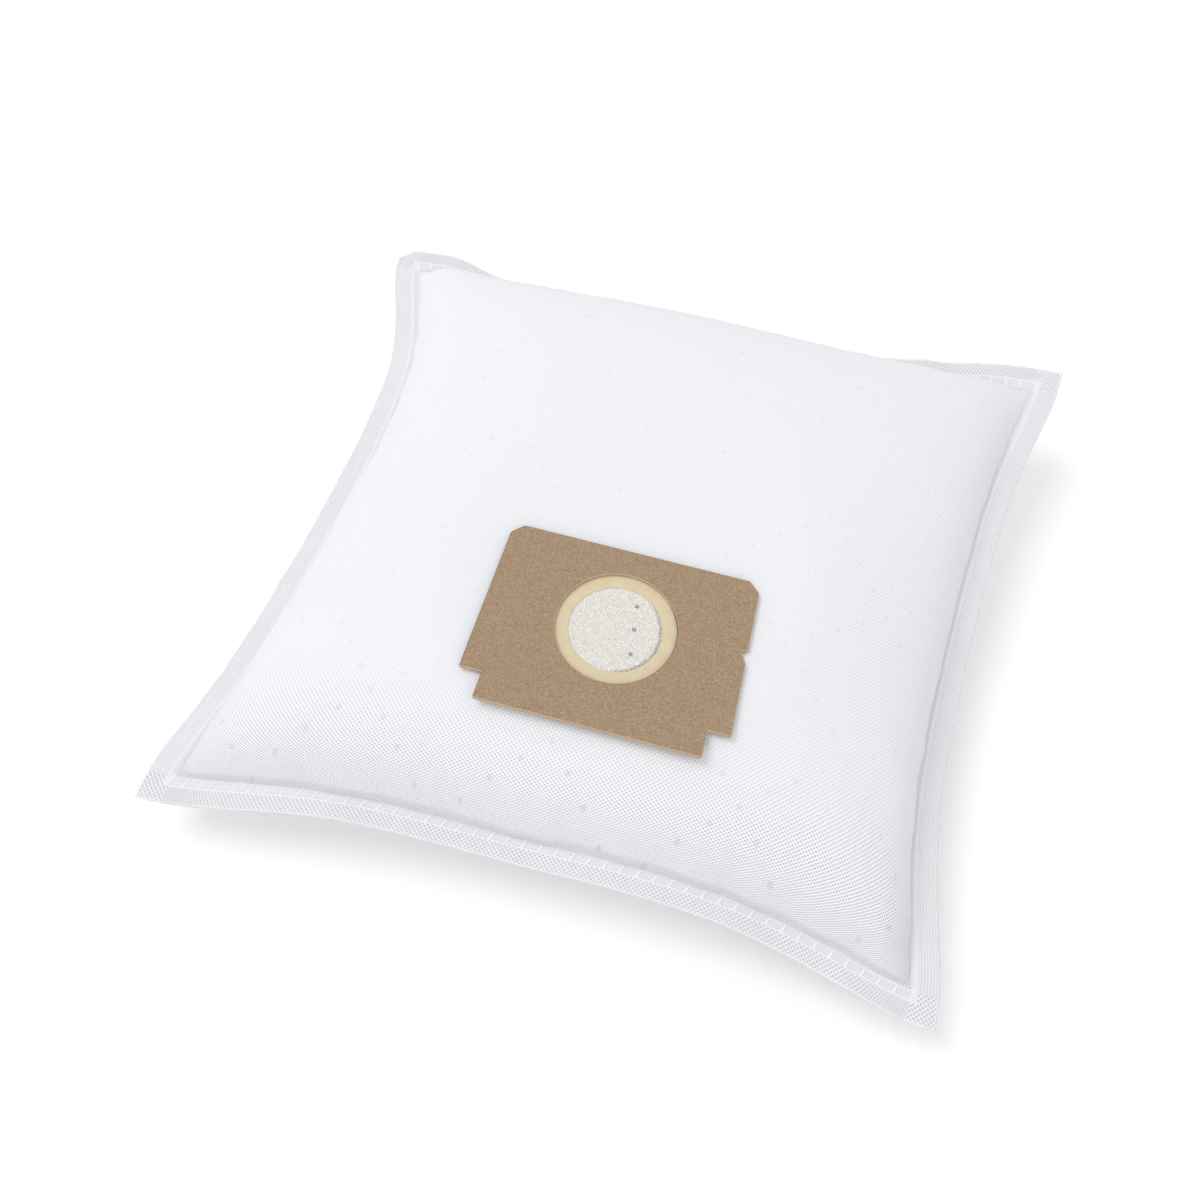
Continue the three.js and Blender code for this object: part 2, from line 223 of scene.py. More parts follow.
def edge_points(name, t):
    """Points of one cut edge of the flange, for t from -1 at its first ear to 1 at its second."""
    edge = EDGES[name]
    a, b = EARS[edge.first_ear], EARS[edge.second_ear]
    t = np.asarray(t, float)[..., None]
    reach = np.clip(1 - np.abs(t) ** BOW_SHAPE, 0, 1) ** BOW_EASE
    points = a + (b - a) * (1 + t) / 2 + np.array(edge.inward) * edge.bow * (1 + edge.skew * t) * reach
    if name == "back":
        points[..., 1] += EAR_BULGE * np.exp(-(((t[..., 0] - EAR_BULGE_PLACE) / EAR_BULGE_REACH) ** 2))
    wave = WAVE_HEIGHT * np.sin(WAVES_PER_SIDE * math.pi * t[..., 0] + edge.wave_phase)
    points[..., 2] += (1 - t[..., 0] ** 2) * (edge.seam_height - (a[2] + b[2]) / 2 + wave)
    return points


def seam_points(u, v):
    """The surface of the seam, stretched between the four edges, for u and v from -1 to 1."""
    a, b = ((1 + u) / 2)[..., None], ((1 + v) / 2)[..., None]
    across = edge_points("front", u) * (1 - b) + edge_points("back", u) * b
    along = edge_points("left", v) * (1 - a) + edge_points("right", v) * a
    front = EARS["front left"] * (1 - a) + EARS["front right"] * a
    back = EARS["back left"] * (1 - a) + EARS["back right"] * a
    return across + along - front * (1 - b) - back * b


def seam_distances(u, v):
    """Millimetres of cloth from the side seams and from the end seams inwards."""
    return (SEAM_U - np.abs(u)) * HALF_WIDTH, (SEAM_V - np.abs(v)) * HALF_DEPTH


def fullness(s, shape, ease):
    """0 at the seam and 1 in the middle of the bag."""
    return (1 - np.clip(np.abs(s), 0, 1) ** shape) ** ease


def belly_points(u, v, belly, middle):
    """The belly between the seam and its wanted middle height, with a soft valley at the seam."""
    points = seam_points(u, v)
    full_x = fullness(u / SEAM_U, belly.sides, belly.ease)
    full_y = fullness(v / SEAM_V, np.where(v < 0, belly.front, belly.back), belly.ease)
    rise_side, rise_end = [
        1 - np.exp(-np.maximum(inside, 0) / belly.valley_width) for inside in seam_distances(u, v)]
    points[..., 0] += np.sign(u) * 4 * full_x * (1 - full_x) * belly.bulge * full_y
    end_bulge = np.where(v < 0, belly.bulge, belly.back_bulge * rise_end)
    points[..., 1] += np.sign(v) * 4 * full_y * (1 - full_y) * end_bulge * full_x
    points[..., 2] += (middle - points[..., 2]) * full_x * full_y * rise_side * rise_end
    return points


def cloth_lengths(points):
    """Millimetres of cloth from the middle of the panel, as on its two middle lines."""
    rows, columns = points.shape[:2]
    lengths = []
    for line in (points[rows // 2], points[:, columns // 2]):
        length = np.append(0, np.linalg.norm(np.diff(line, axis=0), axis=-1).cumsum())
        lengths.append(length - length[len(length) // 2])
    return np.stack(np.meshgrid(*lengths), -1)


def in_collar(x, y):
    """Places in the collar's own frame."""
    c, s = math.cos(COLLAR_TURN), math.sin(COLLAR_TURN)
    dx, dy = x - COLLAR_PLACE[0], y - COLLAR_PLACE[1]
    return dx * c + dy * s, dy * c - dx * s


def pressed(points):
    """Heights under the dish that the collar presses into the crown of the belly."""
    cx, cy = in_collar(points[..., 0], points[..., 1])
    out_x = np.maximum(np.abs(cx) - COLLAR_WIDTH / 2 - PRESS_MARGIN, 0)
    out_y = np.maximum(np.abs(cy) - COLLAR_LENGTH / 2 - PRESS_MARGIN, 0)
    dish = LANDING_HEIGHT + (out_x**2 + out_y**2) / (2 * PRESS_RADIUS)
    low = points[..., 2] - dish
    return dish + 0.5 * (low - np.sqrt(low * low + PRESS_EASE**2))


def from_collar():
    """Matrix from the collar's frame in millimetres to the row frame in metres."""
    place = Vector((*COLLAR_PLACE, 0)) * MM
    return Matrix.Translation(place) @ Matrix.Rotation(COLLAR_TURN, 4, "Z") @ Matrix.Scale(MM, 4)


def inlet_centre():
    """The middle of the inlet in the row frame in metres."""
    return from_collar() @ Vector((*INLET, 0))


def cloth_lines(half, seam, steps, flange_steps, low_shape, high_shape):
    """Grid lines from -1 to 1: even steps on the flange, and even steps of cloth on the belly."""
    s = np.sin(np.linspace(0, math.pi / 2, 4000))
    sides = []
    for shape in (low_shape, high_shape):
        height = CROWN_ABOVE_SEAM * fullness(s, shape, UPPER_BELLY.ease)
        length = np.hypot(np.diff(s * seam * half), np.diff(height)).cumsum()
        length = np.concatenate([[0], length])
        sides.append(np.interp(np.linspace(0, length[-1], steps + 1), length, s) * seam)
    flange = np.linspace(seam, 1, flange_steps + 1)[1:]
    return np.concatenate([-flange[::-1], -sides[0][:0:-1], sides[1], flange])


def normals_of(points):
    """Unit normals of a grid of points, upwards for rows along +X and columns along +Y."""
    along_u = np.gradient(points, axis=1)
    along_v = np.gradient(points, axis=0)
    n = np.cross(along_u, along_v)
    return n / np.maximum(np.linalg.norm(n, axis=-1, keepdims=True), 1e-9)


def folds(u, v, points, seed):
    """Height in millimetres of the puckers along the seam and of the soft dents of the belly."""
    x, y = u * HALF_WIDTH, v * HALF_DEPTH
    from_side, from_end = seam_distances(u, v)
    inside = np.minimum(from_side, from_end)
    along = np.where(from_end < from_side, x, y)
    across = np.where(from_end < from_side, y, x)
    pucker = soft_noise(along, across * 0.25, PUCKER_SIZE, seed)
    pucker += 0.6 * soft_noise(along, across * 0.2, PUCKER_SIZE / 2, seed + 1)
    near = np.exp(-np.maximum(inside, 0) / PUCKER_REACH) * smooth(inside / 2.0)
    dents = soft_noise(x + 0.4 * y, y, DENT_SIZE, seed + 2)
    dents += 0.5 * soft_noise(x, y - 0.3 * x, DENT_SIZE / 2, seed + 3)
    cx, cy = in_collar(points[..., 0], points[..., 1])
    off_collar = smooth(np.hypot(cx / COLLAR_WIDTH, cy / COLLAR_LENGTH) * 2 - 1)
    middle = smooth(inside / 30.0) * off_collar
    return PUCKER_HEIGHT * pucker * near + DENT_HEIGHT * dents * middle


def flange_waves(u, v):
    """Height in millimetres of the small waves of the cut edge."""
    x, y = u * HALF_WIDTH, v * HALF_DEPTH
    outside = np.clip(-np.minimum(*seam_distances(u, v)) / FLANGE_WIDTH, 0, 1)
    wave = soft_noise(x, y, WAVE_SIZE, WAVE_SEED) + 0.5 * soft_noise(x, y, 8.0, WAVE_SEED + 1)
    return SMALL_WAVE_HEIGHT * wave * outside


def grid_faces(columns, rows, start, up):
    """Quads of a grid of points counted row by row."""
    i, j = np.meshgrid(np.arange(columns - 1), np.arange(rows - 1))
    a = (start + j * columns + i).ravel()
    quads = np.stack([a, a + 1, a + 1 + columns, a + columns], 1)
    return quads if up else quads[:, ::-1]


def new_object(name, mesh):
    piece = bpy.data.objects.new(name, mesh)
    bpy.context.scene.collection.objects.link(piece)
    return piece


def make_shell(name, outer, inner, maps, step, up, hole=None):
    """A closed sheet: a fine outer grid, an inner grid with one line in every step, and the cut
    edge between them. maps holds texture places in millimetres for each UV map. hole is a test
    of outer places that are left open for the inlet."""
    rows, columns = outer.shape[:2]
    inner_rows, inner_columns = inner.shape[:2]
    points = np.concatenate([outer.reshape(-1, 3), inner.reshape(-1, 3)]) * MM
    start = rows * columns
    quads = [grid_faces(columns, rows, 0, up), grid_faces(inner_columns, inner_rows, start, not up)]
    loop = [(0, i) for i in range(columns)] + [(j, columns - 1) for j in range(1, rows)]
    loop += [(rows - 1, i) for i in range(columns - 2, -1, -1)] + [(j, 0) for j in range(rows - 2, 0, -1)]
    rim = []
    for k in range(0, len(loop), step):
        stretch = [loop[(k + n) % len(loop)] for n in range(step + 1)]
        out = [j * columns + i for j, i in stretch]
        ends = [start + (j // step) * inner_columns + i // step for j, i in (stretch[0], stretch[-1])]
        face = [*ends, *out[::-1]]
        rim.append(face if up else face[::-1])
    faces = [*quads[0].tolist(), *quads[1].tolist(), *rim]
    if hole is not None:
        inside = hole(points)
        faces = [f for f in faces if not all(inside[i] for i in f)]
    mesh = bpy.data.meshes.new(name)
    mesh.from_pydata(points.tolist(), [], faces)
    index = np.empty(len(mesh.loops), int)
    mesh.loops.foreach_get("vertex_index", index)
    for label, uv in maps.items():
        layer = mesh.uv_layers.new(name=label)
        places = np.concatenate([uv.reshape(-1, 2), uv[::step, ::step].reshape(-1, 2)]) * MM
        layer.data.foreach_set("uv", places[index].ravel())
    mesh.shade_smooth()
    mesh.validate()
    return new_object(name, mesh)


def trim_ear(points):
    """Draws the tip of the back left ear in to its trimmed edge."""
    inward = np.array([1.0, -1.0]) / math.sqrt(2)
    reach = (points[..., :2] - EARS["back left"][:2]) @ inward
    short = np.clip(BACK_LEFT_EAR_CUT - reach, 0, None) * (points[..., 0] < 0) * (points[..., 1] > 0)
    points[..., :2] += short[..., None] * inward
    return points


def round_hole(piece):
    """Moves the open edge in the panel onto a circle about the inlet and closes its cut edge."""
    centre = inlet_centre()
    bm = bmesh.new()
    bm.from_mesh(piece.data)
    loose = [vert for vert in bm.verts if not vert.link_faces]
    bmesh.ops.delete(bm, geom=loose, context="VERTS")
    edges = [edge for edge in bm.edges if edge.is_boundary]
    for vert in {vert for edge in edges for vert in edge.verts}:
        flat = Vector((vert.co.x - centre.x, vert.co.y - centre.y))
        flat *= PANEL_HOLE_RADIUS * MM / flat.length
        vert.co.x, vert.co.y = centre.x + flat.x, centre.y + flat.y
    bmesh.ops.bridge_loops(bm, edges=edges)
    bm.to_mesh(piece.data)
    bm.free()


class Graph:
    """Adds shader nodes to a material or to a node group in few words."""

    def __init__(self, tree):
        self.tree = tree

    def put(self, value, socket):
        if isinstance(value, bpy.types.NodeSocket):
            self.tree.links.new(value, socket)
        else:
            socket.default_value = value

    def add(self, kind, inputs=None, **settings):
        node = self.tree.nodes.new(kind)
        for key, value in settings.items():
            setattr(node, key, value)
        for key, value in (inputs or {}).items():
            self.put(value, node.inputs[key])
        return node

    def math(self, operation, *values, clamp=False):
        inputs = dict(enumerate(values))
        return self.add("ShaderNodeMath", inputs, operation=operation, use_clamp=clamp).outputs[0]

    def times(self, first, second):
        return self.math("MULTIPLY", first, second)

    def plus(self, first, second, clamp=False):
        return self.math("ADD", first, second, clamp=clamp)

    def minus(self, first, second, clamp=False):
        return self.math("SUBTRACT", first, second, clamp=clamp)

    def larger(self, first, second):
        return self.math("MAXIMUM", first, second)

    def length(self, x, y):
        return self.math("SQRT", self.weighted((x, x), (y, y)))

    def group(self, tree, place, **values):
        """The outputs of a node group that takes a place and some values."""
        return self.add("ShaderNodeGroup", {0: place, **values}, node_tree=tree).outputs

    def step(self, value, low, high):
        """0 at low and 1 at high, with a soft step between. low may be the larger of the two."""
        inputs = {"Value": value, "From Min": low, "From Max": high}
        return self.add("ShaderNodeMapRange", inputs, interpolation_type="SMOOTHSTEP").outputs[0]

    def band(self, value, low, high, soft):
        """1 from low to high."""
        rise = self.step(value, low - soft, low + soft)
        return self.times(rise, self.step(value, high + soft, high - soft))

    def mix(self, share, first, second):
        """A blend of two colours, each a socket or three numbers."""
        node = self.add("ShaderNodeMix", data_type="RGBA")
        self.put(share, node.inputs[0])
        for colour, socket in ((first, node.inputs[6]), (second, node.inputs[7])):
            self.put(colour if isinstance(colour, bpy.types.NodeSocket) else (*colour, 1.0), socket)
        return node.outputs[2]

    def noise(self, vector, scale, detail, roughness=0.5):
        inputs = {"Vector": vector, "Scale": scale, "Detail": detail, "Roughness": roughness}
        return self.add("ShaderNodeTexNoise", inputs).outputs[0]

    def split(self, vector):
        return self.add("ShaderNodeSeparateXYZ", {"Vector": vector}).outputs[:3]

    def stretch(self, vector, factors):
        return self.add("ShaderNodeVectorMath", {0: vector, 1: factors}, operation="MULTIPLY").outputs[0]

    def sum(self, first, *others):
        for other in others:
            first = self.plus(first, other)
        return first

    def weighted(self, *pairs):
        """The sum of values, each times its weight."""
        return self.sum(*[self.times(value, weight) for value, weight in pairs])

    def surface(self, shader, colour, roughness, height):
        """Gives the shader its colour and roughness, and bump from a height in millimetres."""
        self.put(colour, shader.inputs["Base Color"])
        self.put(roughness, shader.inputs["Roughness"])
        bump = self.add("ShaderNodeBump", {"Height": height, "Distance": MM, "Strength": 1.0})
        self.put(bump.outputs[0], shader.inputs["Normal"])


def node_group(name, place, values, outputs):
    """An empty node group with a place and some values as its inputs: the tree, its graph, and
    the sockets inside it."""
    tree = bpy.data.node_groups.new(name, "ShaderNodeTree")
    tree.interface.new_socket(place, in_out="INPUT", socket_type="NodeSocketVector")
    for label, value in values.items():
        socket = tree.interface.new_socket(label, in_out="INPUT", socket_type="NodeSocketFloat")
        socket.default_value = value
    for label in outputs:
        tree.interface.new_socket(label, in_out="OUTPUT", socket_type="NodeSocketFloat")
    graph = Graph(tree)
    source = graph.add("NodeGroupInput")
    return tree, graph, source.outputs, graph.add("NodeGroupOutput").inputs


def bonded_mesh():
    """Group: the pits of a fleece that is pressed between rollers, in diagonal rows."""
    name = "Bonded mesh"
    if name in bpy.data.node_groups:
        return bpy.data.node_groups[name]
    tree, g, source, out = node_group(name, "Cloth", {"Pitch": 1.25}, ["Pits"])
    x, y, _ = g.split(source["Cloth"])
    turn = g.math("DIVIDE", math.pi * math.sqrt(2), source["Pitch"])
    first = g.math("COSINE", g.times(g.plus(x, y), turn))
    second = g.math("COSINE", g.times(g.minus(x, y), turn))
    g.put(g.step(g.plus(first, second), 0.0, 1.6), out["Pits"])
    return tree


def fibre_mottle():
    """Group: soft patches and fine fibres, from 0 to 1, that every material here uses."""
    name = "Fibre mottle"
    if name in bpy.data.node_groups:
        return bpy.data.node_groups[name]
    tree, g, source, out = node_group(name, "Place", {"Patch": 0.8, "Fibre": 1.6}, ["Patches", "Fibres"])
    g.put(g.noise(source["Place"], source["Patch"], 4.0, 0.6), out["Patches"])
    along = g.noise(g.stretch(source["Place"], (0.35, 1.6, 1.0)), source["Fibre"], 3.0, 0.6)
    across = g.noise(g.stretch(source["Place"], (1.6, 0.4, 1.0)), source["Fibre"], 3.0, 0.6)
    g.put(g.larger(along, across), out["Fibres"])
    return tree


def new_material(name, **settings):
    """A material with one Principled BSDF whose named sockets hold the given constants."""
    material = bpy.data.materials.new(name)
    material.use_nodes = True
    graph = Graph(material.node_tree)
    shader = material.node_tree.nodes["Principled BSDF"]
    for key, value in settings.items():
        shader.inputs[key.replace("_", " ").title().replace("Ior", "IOR")].default_value = value
    return material, graph, shader


def map_in_mm(g, name):
    return g.stretch(g.add("ShaderNodeUVMap", uv_map=name).outputs[0], [1 / MM] * 3)


def row_frame_in_mm(g):
    return g.stretch(g.add("ShaderNodeTexCoord").outputs["Object"], [1 / MM] * 3)


def spot_weld_mask(g, x, y, sizes):
    """1 on the small round welds that quilt the fleece layers, in crossing diagonal rows."""
    turn = math.radians(sizes.quilt_turn)
    c, s = math.cos(turn), math.sin(turn)
    turned = (g.weighted((x, c), (y, s)), g.weighted((y, c), (x, -s)))
    near, rows = [], []
    for place, step, start in zip(turned, (sizes.quilt_step_x, sizes.quilt_step_y), QUILT_START):
        step = step / MM
        count = g.math("DIVIDE", g.minus(place, start), step)
        whole = g.math("ROUND", count)
        near.append(g.times(g.minus(count, whole), step))
        rows.append(whole)
    on_row = []
    for operation in ("ADD", "SUBTRACT"):
        share = g.math("DIVIDE", g.math(operation, *rows), QUILT_EVERY)
        off = g.math("ABSOLUTE", g.minus(share, g.math("ROUND", share)))
        on_row.append(g.math("LESS_THAN", off, 0.05))
    radius = sizes.spot_weld_radius / MM
    spot = g.step(g.length(*near), radius * 1.25, radius * 0.7)
    return g.times(spot, g.larger(*on_row))


def end_welds(g, x, past_side, past_end, pad_pitch):
    """Masks of the front and back flange: slanted pads, the raised lines round them, open mesh."""
    slant = g.times(g.minus(past_end, PAD_MIDDLE), PAD_SLANT)
    count = g.math("DIVIDE", g.plus(x, slant), pad_pitch / MM)
    from_ridge = g.math("ABSOLUTE", g.minus(count, g.math("ROUND", count)))
    ridge = g.step(from_ridge, 0.14, 0.08)
    off_ear = g.step(past_side, 0.8, 0.2)
    row = g.times(g.band(past_end, *PAD_ROW, 0.3), off_ear)
    pads = g.times(row, g.minus(1.0, ridge))
    line = g.times(g.band(past_end, *RAISED_LINE, 0.2), off_ear)
    raised = g.plus(g.times(row, ridge), line, clamp=True)
    strip = g.step(past_end, OPEN_STRIP_FROM, OPEN_STRIP_FROM + 0.5)
    return pads, raised, g.larger(strip, g.step(past_side, 2.8, 3.4))


def side_ribs(g, y, past_side, on_side, rib_pitch):
    """Waves from -1 to 1 on the side flanges: fine ribs along the edge, and faint cross lines."""
    on_ribs = g.times(on_side, g.step(past_side, RIBS_FROM, RIBS_FROM + 0.8))
    ribs = g.math("COSINE", g.times(past_side, 2 * math.pi / (rib_pitch / MM)))
    cross = g.math("COSINE", g.times(y, 2 * math.pi / CROSS_LINE_PITCH))
    return g.times(ribs, on_ribs), g.times(cross, on_ribs)


def painted_crease_shade(g, past_side, past_end):
    """Mask of painted shade in the crease where the belly leaves the seam, fainter along the sides."""
    side = g.times(g.band(past_side, -2.2, 1.8, 0.9), g.step(past_end, 1.0, -2.0))
    end = g.times(g.band(past_end, -2.6, 0.4, 0.9), g.step(past_side, 0.5, -1.0))
    return g.larger(g.times(side, 0.7), end)


def outer_fleece():
    """White multi-layer fleece: bonded mesh, spot welds, and the pressed welds of the flange, with painted
    shade and a painted highlight.
    """
    name = "Outer fleece"
    if name in bpy.data.materials:
        return bpy.data.materials[name]
    sizes, colours = bpy.context.scene.dust_bag_sizes, bpy.context.scene.dust_bag_colours
    material, g, shader = new_material(name, roughness=0.85, sheen_weight=0.15, sheen_roughness=0.5)
    cloth = map_in_mm(g, "cloth")
    x, y, _ = g.split(map_in_mm(g, "outline"))
    belly_pits = g.group(bonded_mesh(), cloth, Pitch=sizes.mesh_pitch / MM)["Pits"]
    strip_pits = g.group(bonded_mesh(), cloth, Pitch=sizes.strip_pitch / MM)["Pits"]
    mottle = g.group(fibre_mottle(), cloth, Patch=0.12, Fibre=1.4)
    past_side = g.minus(g.math("ABSOLUTE", x), HALF_WIDTH - FLANGE_WIDTH)
    past_end = g.minus(g.math("ABSOLUTE", y), HALF_DEPTH - FLANGE_WIDTH)
    on_end = g.step(past_end, -0.2, 0.2)
    on_side = g.times(g.step(past_side, -0.2, 0.2), g.minus(1.0, on_end))
    belly = g.minus(g.minus(1.0, on_end), on_side, clamp=True)
    on_flange = g.larger(g.step(past_end, -1.2, 0.6), g.step(past_side, -1.2, 0.6))
    pads, raised, strip = end_welds(g, x, past_side, past_end, sizes.pad_pitch)
    strip = g.times(on_end, strip)
    ribs, cross = side_ribs(g, y, past_side, on_side, sizes.rib_pitch)
    # Painted highlight: the cut edge of the flange is drawn pale, in the ridge tone
    cut_edge_highlight = [g.step(past, CUT_EDGE_FROM, CUT_EDGE_FROM + 0.5) for past in (past_end, past_side)]
    raised = g.larger(g.times(raised, 0.5), g.larger(*cut_edge_highlight))
    # Painted shade and light: the dark pits and pale threads of the mesh and the spot welds show most
    # on the front slope, where the light grazes, and the mesh also on the right slope
    front = g.step(y, *FRONT_SLOPE)
    right = g.step(x, *RIGHT_SLOPE)
    mesh_and_shade = g.times(belly, g.sum(0.11, g.times(front, 0.89), g.times(right, 0.24)))
    open_pits = g.times(belly_pits, mesh_and_shade)
    threads = g.minus(mesh_and_shade, open_pits)
    open_pits = g.plus(open_pits, g.times(strip_pits, strip))
    worn = g.step(g.noise(cloth, 0.03, 1.0), 0.35, 0.65)
    spots = g.times(spot_weld_mask(g, x, y, sizes), belly)
    # Painted shade: the spot welds are drawn darker on the front slope; the worn patches vary them at random
    spots = g.times(spots, g.sum(0.25, g.times(worn, 0.35), g.times(front, 0.85)))
    grooves = g.plus(g.times(ribs, -0.4), g.times(cross, -0.15), clamp=True)
    # Painted shade: the rib grooves are drawn darker on the right slope
    grooves = g.times(grooves, g.plus(0.28, g.times(right, 0.6)))
    # Each layer of colour: how much of it shows, and its tone
    # The pit tone also serves as painted shade, and the ridge tone as a painted highlight
    pit, ridge = colours.fleece_pit_and_shade, colours.fleece_ridge_and_highlight
    layers = (
        (threads, ridge),
        (open_pits, pit),
        # Painted shade: the whole flange is drawn a little darker
        (g.times(on_flange, 0.08), pit),
        # Painted shade in the crease along the seam, in the pit tone
        (g.times(painted_crease_shade(g, past_side, past_end), 0.42), pit),
        (g.times(pads, 0.28), pit),
        # The raised lines, and the painted highlight of the cut edge
        (g.times(raised, 0.85), ridge),
        (grooves, pit),
        (g.times(spots, 0.34), colours.spot_weld),
    )
    colour = g.mix(mottle["Patches"], colours.fleece_shade, colours.fleece)
    for share, tone in layers:
        colour = g.mix(share, colour, tone)
    roughness = g.minus(0.88, g.times(g.larger(spots, pads), 0.35))
    height = g.weighted(
        (open_pits, -0.16),
        (spots, -0.12),
        (pads, -0.2),
        (raised, 0.12),
        (ribs, 0.1),
        (cross, 0.04),
        (mottle["Fibres"], 0.05),
    )
    g.surface(shader, colour, roughness, height)
    return material


def kraft_board():
    """Brown board: soft patches, fine fibres, sparse dark specks, and a paler layered cut edge, with painted
    shade on the cut edges that face left and back.
    """
    colours = bpy.context.scene.dust_bag_colours
    material, g, shader = new_material("Kraft board", roughness=0.82)
    place = row_frame_in_mm(g)
    mottle = g.group(fibre_mottle(), place, Patch=0.75, Fibre=1.1)
    patches = g.step(mottle["Patches"], 0.32, 0.68)
    fibres = g.step(mottle["Fibres"], 0.45, 0.75)
    colour = g.mix(patches, colours.board_dark, colours.board)
    colour = g.mix(g.times(fibres, 0.2), colour, colours.board_light)
    grain = g.noise(place, 2.1, 2.0, 0.8)
    colour = g.mix(g.times(g.step(grain, 0.5, 0.62), 0.8), colour, colours.board_light)
    colour = g.mix(g.step(grain, 0.5, 0.38), colour, colours.board_dark)
    specks = g.step(g.noise(place, 1.15, 1.0, 0.4), 0.735, 0.765)
    pale = g.step(g.noise(g.stretch(place, (1.0, -1.0, 1.0)), 1.3, 1.0, 0.4), 0.75, 0.78)
    colour = g.mix(g.times(specks, 0.6), colour, BOARD_SPECK)
    colour = g.mix(g.times(pale, 0.45), colour, BOARD_FLECK)
    facing_x, facing_y, up = g.split(g.add("ShaderNodeNewGeometry").outputs["Normal"])
    side = g.step(g.math("ABSOLUTE", up), 0.995, 0.9)
    # Painted shade: the cut edges that face left and back are drawn dark
    edge_shade = g.step(g.weighted((facing_x, -0.75), (facing_y, 0.6)), 0.0, 0.4)
    layers = g.math("SINE", g.times(g.split(place)[2], 2 * math.pi / BOARD_PLY))
    edge = g.mix(g.step(layers, -0.4, 0.9), CUT_BOARD, CUT_BOARD_PALE)
    edge = g.mix(edge_shade, edge, BOARD_EDGE_SHADE)
    roughness = g.plus(0.74, g.times(fibres, 0.14))
    height = g.weighted((fibres, 0.04), (grain, 0.05))
    g.surface(shader, g.mix(side, colour, edge), roughness, height)
    return material


def membrane_rubber():
    """Cream sheet rubber with a faint cloudy tone."""
    colours = bpy.context.scene.dust_bag_colours
    material, g, shader = new_material("Membrane rubber", roughness=0.5, specular_ior_level=0.35)
    place = row_frame_in_mm(g)
    mottle = g.group(fibre_mottle(), place, Patch=0.22, Fibre=1.2)
    cloud = g.step(mottle["Patches"], 0.3, 0.7)
    colour = g.mix(cloud, colours.rubber_shade, colours.rubber)
    roughness = g.plus(0.46, g.times(cloud, 0.12))
    g.surface(shader, colour, roughness, g.times(mottle["Fibres"], 0.02))
    return material


def inner_fleece():
    """Warm white needled felt with wavy cross ridges, painted shade in the hollows between them, and three
    small grey welds.
    """
    colours = bpy.context.scene.dust_bag_colours
    material, g, shader = new_material("Inner fleece", roughness=0.95, sheen_weight=0.2, sheen_roughness=0.5)
    cloth = map_in_mm(g, "cloth")
    x, y, _ = g.split(cloth)
    mottle = g.group(fibre_mottle(), cloth, Patch=0.45, Fibre=1.0)
    ridges = g.noise(g.stretch(cloth, (0.6, 1.1, 1.0)), 1.35, 1.0, 0.5)
    ridges = g.step(ridges, 0.36, 0.64)
    # The hollows between the ridges take the darker felt tone as painted shade; the soft patches are the
    # felt's own tone
    tone = g.times(g.plus(ridges, g.step(mottle["Patches"], 0.3, 0.7)), 0.5)
    colour = g.mix(tone, colours.felt_shade, colours.felt)
    spots = 0.0
    for weld_x, weld_y in FLAP_WELDS:
        distance = g.length(g.minus(x, weld_x), g.minus(y, weld_y))
        spots = g.larger(spots, g.step(distance, FLAP_WELD_RADIUS, 0.65 * FLAP_WELD_RADIUS))
    colour = g.mix(g.times(spots, 0.9), colour, FELT_WELD)
    roughness = g.minus(0.95, g.times(spots, 0.3))
    height = g.weighted((ridges, 0.3), (mottle["Fibres"], 0.12), (spots, -0.35))
    g.surface(shader, colour, roughness, height)
    return material


def finish_piece(piece, material, slot, *nodes):
    """Gives a piece its material and its place in the frame."""
    piece.data.materials.append(material)
    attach(piece, BODY)
    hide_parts(*nodes)


def make_panel(name, belly, middle, sign):
    """One fleece panel. sign is 1 for the upper panel and -1 for the lower one."""
    sizes = bpy.context.scene.dust_bag_sizes
    # The panel is less deep than wide, so it takes fewer rows than columns
    steps, flange_steps = sizes.belly_steps, sizes.flange_steps
    columns = cloth_lines(HALF_WIDTH, SEAM_U, steps, flange_steps, belly.sides, belly.sides)
    rows = cloth_lines(HALF_DEPTH, SEAM_V, steps - 10, flange_steps, belly.front, belly.back)
    u, v = np.meshgrid(columns, rows)
    points = belly_points(u, v, belly, middle)
    maps = {"cloth": cloth_lengths(points), "outline": np.stack([u * HALF_WIDTH, v * HALF_DEPTH], -1)}
    points[..., 2] += flange_waves(u, v)
    out = normals_of(points) * sign
    bumps = folds(u, v, points, FOLD_SEEDS[sign]) * sizes.fold_height / MM
    points += out * bumps[..., None]
    if sign > 0:
        points[..., 2] = pressed(points)
    points = trim_ear(points)
    out = normals_of(points) * sign
    on_flange = smooth(-np.minimum(*seam_distances(u, v)) / FLANGE_EASE)[..., None]
    out = out * (1 - on_flange) + np.array([0, 0, sign]) * on_flange
    # The outer face stands proud of the seam by the thickness, and the panels meet at the seam
    outer = points + np.array([0, 0, sign]) * PANEL_THICKNESS * on_flange
    inner = outer - out * PANEL_THICKNESS
    if sign < 0:
        outer[..., 2] = np.maximum(outer[..., 2], 0)
        inner[..., 2] = np.maximum(inner[..., 2], PANEL_THICKNESS)
    inner = inner[::INNER_STEP, ::INNER_STEP]
    centre = inlet_centre()

    def in_hole(places):
        reach = np.hypot(places[:, 0] - centre.x, places[:, 1] - centre.y)
        return (reach < PANEL_HOLE_RADIUS * MM) & (places[:, 2] > 0.5 * CROWN_HEIGHT * MM)

    if sign < 0:
        return make_shell(name, outer, inner, maps, INNER_STEP, False)
    piece = make_shell(name, outer, inner, maps, INNER_STEP, True, in_hole)
    round_hole(piece)
    return piece


